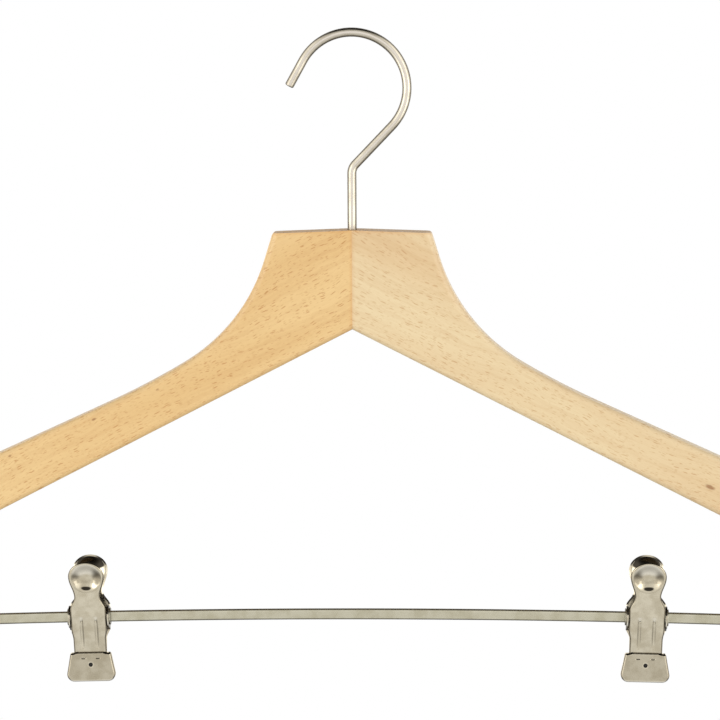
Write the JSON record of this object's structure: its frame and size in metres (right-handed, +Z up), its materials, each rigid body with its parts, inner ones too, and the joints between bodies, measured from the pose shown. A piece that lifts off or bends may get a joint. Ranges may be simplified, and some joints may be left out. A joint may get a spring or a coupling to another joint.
{
  "type": "clothes hanger",
  "caption": "Flat wooden clothes hanger with a swivelling wire hook and a slightly bowed flat metal bar that carries sliding, swinging sprung clips for trousers or skirts.",
  "frame": {"origin": "where the axis of the hook's shank meets the top of the neck, half way through the thickness of the wood", "axes": "+X to the right along the hanger, +Y from the front to the back through the wood, +Z up along the hook's shank"},
  "size_m": [0.444, 0.024, 0.2866],
  "materials": {
    "beech_left": "clear satin lacquer on beech, warmer board, short dark grain flecks",
    "beech_right": "clear satin lacquer on beech, paler board, short grain flecks",
    "satin_nickel": "satin nickel plated steel wire",
    "bright_nickel": "bright nickel plated pressed steel sheet",
    "spring_steel": "plated spring wire",
    "black_rubber": "matt black rubber with fine ribs"
  },
  "bodies": {
    "hanger": {"left_arm": "beech_left", "right_arm": "beech_right", "bar": "satin_nickel", "hook_pin": "spring_steel"},
    "hook": {"hook": "satin_nickel"},
    "left_clip_tube": {"left_pivot_tube": "satin_nickel"},
    "left_clip_spring": {"left_spring": "spring_steel"},
    "left_clip_front": {"left_front_jaw": "bright_nickel", "left_front_pad": "black_rubber"},
    "left_clip_rear": {"left_rear_jaw": "bright_nickel", "left_rear_pad": "black_rubber"},
    "right_clip_tube": {"right_pivot_tube": "satin_nickel"},
    "right_clip_spring": {"right_spring": "spring_steel"},
    "right_clip_front": {"right_front_jaw": "bright_nickel", "right_front_pad": "black_rubber"},
    "right_clip_rear": {"right_rear_jaw": "bright_nickel", "right_rear_pad": "black_rubber"}
  },
  "joints": [
    {"name": "hook_swivel", "type": "hinge", "parent": "hanger", "child": "hook", "pos_m": [0, 0, 0], "axis": [0, 0, 1], "continuous": true},
    {"name": "left_clip_slide", "type": "hinge", "parent": "hanger", "child": "left_clip_tube", "pos_m": [0, 0, -5.6451], "axis": [0, 1, 0], "range_deg": [-0.61, 1.08]},
    {"name": "left_clip_swing", "type": "hinge", "parent": "left_clip_tube", "child": "left_clip_spring", "pos_m": [-0.1165, 0, -0.17034], "axis": [0.9998, 0, 0.0213], "continuous": true},
    {"name": "left_front_jaw_open", "type": "hinge", "parent": "left_clip_spring", "child": "left_clip_front", "pos_m": [-0.1165, 0, -0.17034], "axis": [-0.9998, 0, -0.0213], "range_deg": [0, 16], "stiffness_Nm_per_rad": 0.01, "springref_deg": -17.19, "deforming": ["left_spring"]},
    {"name": "left_rear_jaw_open", "type": "hinge", "parent": "left_clip_spring", "child": "left_clip_rear", "pos_m": [-0.1165, 0, -0.17034], "axis": [-0.9998, 0, -0.0213], "range_deg": [-16, 0], "stiffness_Nm_per_rad": 0.01, "springref_deg": 17.19, "deforming": ["left_spring"]},
    {"name": "right_clip_slide", "type": "hinge", "parent": "hanger", "child": "right_clip_tube", "pos_m": [0, 0, -5.6451], "axis": [0, 1, 0], "range_deg": [-1.2, 0.49]},
    {"name": "right_clip_swing", "type": "hinge", "parent": "right_clip_tube", "child": "right_clip_spring", "pos_m": [0.128, 0, -0.1706], "axis": [0.9997, 0, -0.0234], "continuous": true},
    {"name": "right_front_jaw_open", "type": "hinge", "parent": "right_clip_spring", "child": "right_clip_front", "pos_m": [0.128, 0, -0.1706], "axis": [-0.9997, 0, 0.0234], "range_deg": [0, 16], "stiffness_Nm_per_rad": 0.01, "springref_deg": -17.19, "deforming": ["right_spring"]},
    {"name": "right_rear_jaw_open", "type": "hinge", "parent": "right_clip_spring", "child": "right_clip_rear", "pos_m": [0.128, 0, -0.1706], "axis": [-0.9997, 0, 0.0234], "range_deg": [-16, 0], "stiffness_Nm_per_rad": 0.01, "springref_deg": 17.19, "deforming": ["right_spring"]}
  ],
  "couplings": [
    {"joint": "left_rear_jaw_open", "follows": "left_front_jaw_open", "ratio": -1},
    {"joint": "right_rear_jaw_open", "follows": "right_front_jaw_open", "ratio": -1}
  ]
}
